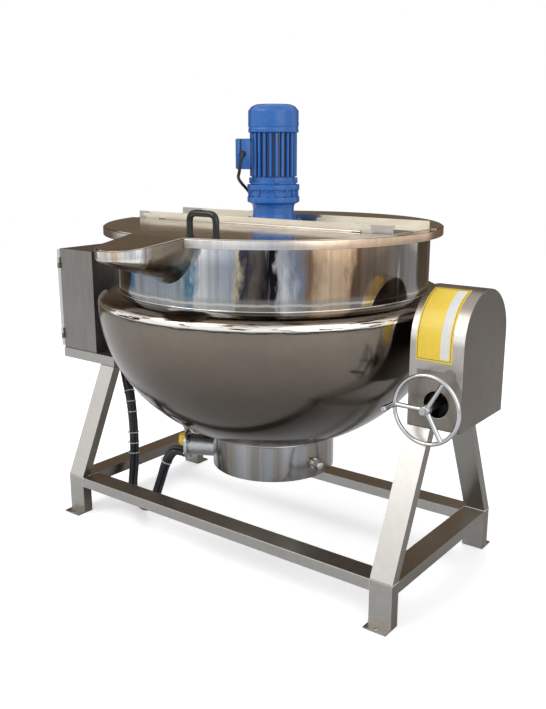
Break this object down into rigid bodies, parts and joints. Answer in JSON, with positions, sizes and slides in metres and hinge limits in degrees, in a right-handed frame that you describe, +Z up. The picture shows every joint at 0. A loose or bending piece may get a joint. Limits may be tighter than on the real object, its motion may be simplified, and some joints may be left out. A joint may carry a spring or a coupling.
{
  "type": "steam jacketed kettle",
  "caption": "Tilting jacketed cooking kettle on a tube stand, with a motor-driven scraper agitator, hinged half lid, pouring spout and handwheel worm drive.",
  "frame": {"origin": "on the floor, at the centre of the box round the whole part", "axes": "+X along the tilt axis towards the worm gear end, -Y towards the pouring spout, +Z up"},
  "size_m": [1.889, 1.424, 1.5832],
  "materials": {
    "stainless": "satin stainless steel",
    "polished": "polished stainless steel",
    "mirror": "mirror polished stainless steel",
    "box_grey": "satin stainless sheet",
    "gear_cover": "brushed stainless sheet",
    "turned_steel": "turned steel",
    "cast": "cast iron",
    "bronze": "cast bronze",
    "chrome": "chromed steel",
    "zinc": "bright steel",
    "blue_enamel": "gloss enamel",
    "film": "steel under a cream protective film",
    "yellow_plastic": "moulded",
    "black_plastic": "glossy moulded",
    "red_plastic": "glossy moulded",
    "green_plastic": "glossy moulded",
    "white_plastic": "moulded",
    "cable": "rubber sheath"
  },
  "bodies": {
    "stand": {"base_rail_front": "stainless", "base_rail_rear": "stainless", "base_rail_left": "stainless", "base_rail_right": "stainless", "post_front_left": "stainless", "post_front_right": "stainless", "post_rear_left": "stainless", "post_rear_right": "stainless", "leg_front_left": "stainless", "leg_front_right": "stainless", "leg_rear_left": "stainless", "leg_rear_right": "stainless", "left_shelf": "stainless", "control_box": "box_grey", "contactor_block": "white_plastic", "cable_gland": "black_plastic", "bearing_left": "cast", "bearing_right": "cast", "worm_bracket": "cast", "gear_housing": "gear_cover", "power_cable": "cable"},
    "box_door": {"control_box_door": "box_grey"},
    "latch": {"door_latch": "zinc"},
    "knob": {"temperature_knob": "black_plastic"},
    "start": {"start_button": "green_plastic"},
    "stop": {"stop_button": "red_plastic"},
    "worm": {"worm_shaft": "turned_steel", "handwheel": "chrome", "handwheel_nut": "zinc"},
    "grip": {"handwheel_grip": "chrome"},
    "kettle": {"inner_bowl": "mirror", "jacket_shell": "polished", "rim_band": "polished", "pouring_spout": "polished", "heater_housing": "polished", "heater_base_plate": "stainless", "heater_port": "zinc", "heating_element": "turned_steel", "heater_cap": "yellow_plastic", "heater_gland": "black_plastic", "drain_pipe": "zinc", "drain_plug": "zinc", "trunnion_left": "turned_steel", "trunnion_right": "turned_steel", "worm_wheel": "bronze", "mixer_beam": "film", "rear_half_lid": "polished", "gear_reducer": "blue_enamel", "motor_housing": "blue_enamel", "fan_cowl": "blue_enamel", "terminal_box": "blue_enamel", "motor_cable": "cable", "beam_grommet": "black_plastic"},
    "front_lid": {"front_half_lid": "mirror", "lid_handle": "black_plastic"},
    "agitator": {"agitator_shaft": "stainless", "anchor_frame": "stainless", "scraper_left": "white_plastic", "scraper_right": "white_plastic"},
    "rotor": {"motor_rotor": "turned_steel"}
  },
  "joints": [
    {"name": "kettle_tilt", "type": "hinge", "parent": "stand", "child": "kettle", "pos_m": [0.09205, 0.086, 0.855], "axis": [1, 0, 0], "range_deg": [0, 75]},
    {"name": "handwheel_turn", "type": "hinge", "parent": "stand", "child": "worm", "pos_m": [0.83205, -0.136, 0.679], "axis": [0, 1, 0], "range_deg": [-4350, 0]},
    {"name": "grip_spin", "type": "hinge", "parent": "worm", "child": "grip", "pos_m": [0.72605, -0.136, 0.679], "axis": [0, 1, 0], "continuous": true},
    {"name": "lid_hinge", "type": "hinge", "parent": "kettle", "child": "front_lid", "pos_m": [0.09205, -0.042, 1.1826], "axis": [-1, 0, 0], "range_deg": [0, 75]},
    {"name": "agitator_spin", "type": "hinge", "parent": "kettle", "child": "agitator", "pos_m": [0.09205, 0.086, 0.947], "axis": [0, 0, 1], "continuous": true},
    {"name": "rotor_spin", "type": "hinge", "parent": "kettle", "child": "rotor", "pos_m": [0.09205, 0.086, 1.401], "axis": [0, 0, 1], "continuous": true},
    {"name": "door_hinge", "type": "hinge", "parent": "stand", "child": "box_door", "pos_m": [-0.91095, -0.079, 0.8223], "axis": [0, 0, 1], "range_deg": [0, 110]},
    {"name": "latch_turn", "type": "hinge", "parent": "box_door", "child": "latch", "pos_m": [-0.92425, 0.215, 0.8223], "axis": [1, 0, 0], "range_deg": [0, 90]},
    {"name": "knob_turn", "type": "hinge", "parent": "box_door", "child": "knob", "pos_m": [-0.92425, 0.086, 0.9147], "axis": [1, 0, 0], "range_deg": [0, 270]},
    {"name": "start_press", "type": "slide", "parent": "box_door", "child": "start", "axis": [1, 0, 0], "range_m": [0, 0.004], "stiffness_N_per_m": 400},
    {"name": "stop_press", "type": "slide", "parent": "box_door", "child": "stop", "axis": [1, 0, 0], "range_m": [0, 0.004], "stiffness_N_per_m": 400}
  ],
  "couplings": [
    {"joint": "handwheel_turn", "follows": "kettle_tilt", "ratio": -58},
    {"joint": "rotor_spin", "follows": "agitator_spin", "ratio": -35}
  ]
}
